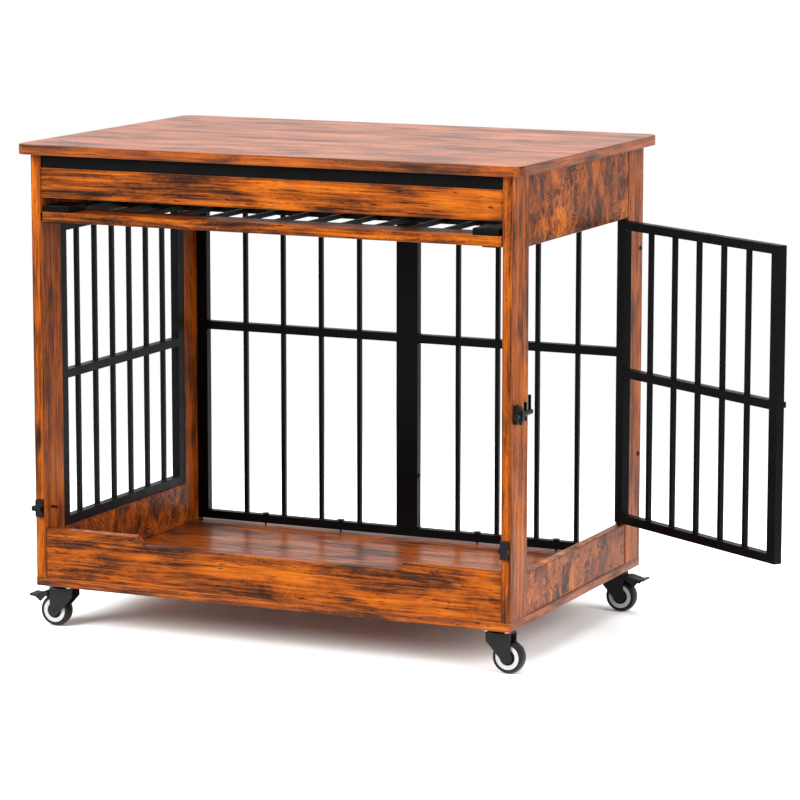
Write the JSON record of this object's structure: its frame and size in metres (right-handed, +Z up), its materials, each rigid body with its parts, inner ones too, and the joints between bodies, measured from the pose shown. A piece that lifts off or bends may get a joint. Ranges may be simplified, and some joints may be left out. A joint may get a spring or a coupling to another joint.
{
  "type": "dog crate end table",
  "caption": "Wooden side table on swivel casters that is a steel-barred dog crate, with a side door on pins and a front door that lifts and slides in under the top.",
  "frame": {"origin": "on the floor, under the middle of the wooden carcass, casters left out", "axes": "+X to the right along the long side, towards the side door; +Y to the back, away from the front door; +Z up"},
  "size_m": [1.1054, 0.542, 0.725],
  "materials": {
    "wood_laminate": "satin printed wood grain over chipboard, slightly glossy on the table top",
    "black_steel": "satin black powder coat",
    "black_plastic": "matte black",
    "zinc_steel": "zinc plated",
    "black_tyre": "smooth, slightly glossy",
    "white_plastic": "glossy white"
  },
  "bodies": {
    "crate": {"tabletop": "wood_laminate", "base_panel": "wood_laminate", "post_front_left": "wood_laminate", "post_front_right": "wood_laminate", "post_back_left": "wood_laminate", "post_back_right": "wood_laminate", "front_apron": "wood_laminate", "side_apron_left": "wood_laminate", "side_apron_right": "wood_laminate", "front_board": "wood_laminate", "side_board_left": "wood_laminate", "side_board_right": "wood_laminate", "front_beam": "black_steel", "left_panel": "black_steel", "back_panel_left": "black_steel", "back_panel_right": "black_steel", "catch_bracket_left": "black_steel", "catch_bracket_right": "black_steel", "side_catch_bracket": "black_steel", "hinge_pins": "black_steel", "door_stops": "black_plastic", "panel_bolt": "black_steel", "back_panel_screws": "black_steel", "rail_screws": "black_steel", "caster_screws": "zinc_steel", "caster_front_left_plate": "black_steel", "caster_front_right_plate": "black_steel", "caster_back_left_plate": "black_steel", "caster_back_right_plate": "black_steel"},
    "side_door": {"side_door_frame": "black_steel", "side_door_keeper": "black_steel"},
    "front_door_carriage": {"front_door_sliders": "black_plastic"},
    "front_door": {"front_door_grille": "black_steel", "front_door_rail": "wood_laminate", "front_door_cap_left": "black_steel", "front_door_cap_right": "black_steel", "front_door_backing_plates": "black_steel"},
    "front_catch_bolt_left": {"catch_bolt_left": "black_steel"},
    "front_catch_bolt_right": {"catch_bolt_right": "black_steel"},
    "side_catch_slider": {"side_catch_bolt": "black_steel"},
    "caster_front_left_swivel": {"caster_front_left_fork": "black_steel", "caster_front_left_axle": "zinc_steel"},
    "caster_front_left_wheel": {"caster_front_left_tyre": "black_tyre", "caster_front_left_core": "white_plastic"},
    "caster_front_left_pedal": {"caster_front_left_pedal": "black_steel"},
    "caster_front_right_swivel": {"caster_front_right_fork": "black_steel", "caster_front_right_axle": "zinc_steel"},
    "caster_front_right_wheel": {"caster_front_right_tyre": "black_tyre", "caster_front_right_core": "white_plastic"},
    "caster_back_left_swivel": {"caster_back_left_fork": "black_steel", "caster_back_left_axle": "zinc_steel"},
    "caster_back_left_wheel": {"caster_back_left_tyre": "black_tyre", "caster_back_left_core": "white_plastic"},
    "caster_back_right_swivel": {"caster_back_right_fork": "black_steel", "caster_back_right_axle": "zinc_steel"},
    "caster_back_right_wheel": {"caster_back_right_tyre": "black_tyre", "caster_back_right_core": "white_plastic"},
    "caster_back_right_pedal": {"caster_back_right_pedal": "black_steel"}
  },
  "joints": [
    {"name": "side_door_hinge", "type": "hinge", "parent": "crate", "child": "side_door", "pos_m": [0.3745, 0.1865, 0.3945], "axis": [0, 0, 1], "range_deg": [-58, 37]},
    {"name": "front_door_slide", "type": "slide", "parent": "crate", "child": "front_door_carriage", "axis": [0, -1, 0], "range_m": [0, 0.457]},
    {"name": "front_door_hinge", "type": "hinge", "parent": "front_door_carriage", "child": "front_door", "pos_m": [0, 0.212, 0.618], "axis": [1, 0, 0], "range_deg": [0, 90]},
    {"name": "front_catch_left_slide", "type": "slide", "parent": "crate", "child": "front_catch_bolt_left", "axis": [1, 0, 0], "range_m": [0, 0.014]},
    {"name": "front_catch_right_slide", "type": "slide", "parent": "crate", "child": "front_catch_bolt_right", "axis": [-1, 0, 0], "range_m": [0, 0.009]},
    {"name": "side_catch_slide", "type": "slide", "parent": "crate", "child": "side_catch_slider", "axis": [0, 1, 0], "range_m": [0, 0.02]},
    {"name": "caster_front_left_swivel_turn", "type": "hinge", "parent": "crate", "child": "caster_front_left_swivel", "pos_m": [-0.354, -0.221, 0.0582], "axis": [0, 0, 1], "continuous": true},
    {"name": "caster_front_left_wheel_spin", "type": "hinge", "parent": "caster_front_left_swivel", "child": "caster_front_left_wheel", "pos_m": [-0.367, -0.221, 0.024], "axis": [0, 1, 0], "continuous": true},
    {"name": "caster_front_left_pedal_press", "type": "hinge", "parent": "caster_front_left_swivel", "child": "caster_front_left_pedal", "pos_m": [-0.358, -0.221, 0.0522], "axis": [0, -1, 0], "range_deg": [-9, 0]},
    {"name": "caster_front_right_swivel_turn", "type": "hinge", "parent": "crate", "child": "caster_front_right_swivel", "pos_m": [0.354, -0.221, 0.0582], "axis": [0, 0, 1], "continuous": true},
    {"name": "caster_front_right_wheel_spin", "type": "hinge", "parent": "caster_front_right_swivel", "child": "caster_front_right_wheel", "pos_m": [0.367, -0.221, 0.024], "axis": [0, 1, 0], "continuous": true},
    {"name": "caster_back_left_swivel_turn", "type": "hinge", "parent": "crate", "child": "caster_back_left_swivel", "pos_m": [-0.354, 0.221, 0.0582], "axis": [0, 0, 1], "continuous": true},
    {"name": "caster_back_left_wheel_spin", "type": "hinge", "parent": "caster_back_left_swivel", "child": "caster_back_left_wheel", "pos_m": [-0.367, 0.221, 0.024], "axis": [0, 1, 0], "continuous": true},
    {"name": "caster_back_right_swivel_turn", "type": "hinge", "parent": "crate", "child": "caster_back_right_swivel", "pos_m": [0.354, 0.221, 0.0582], "axis": [0, 0, 1], "continuous": true},
    {"name": "caster_back_right_wheel_spin", "type": "hinge", "parent": "caster_back_right_swivel", "child": "caster_back_right_wheel", "pos_m": [0.367, 0.221, 0.024], "axis": [0, 1, 0], "continuous": true},
    {"name": "caster_back_right_pedal_press", "type": "hinge", "parent": "caster_back_right_swivel", "child": "caster_back_right_pedal", "pos_m": [0.358, 0.221, 0.0522], "axis": [0, 1, 0], "range_deg": [0, 9]}
  ]
}
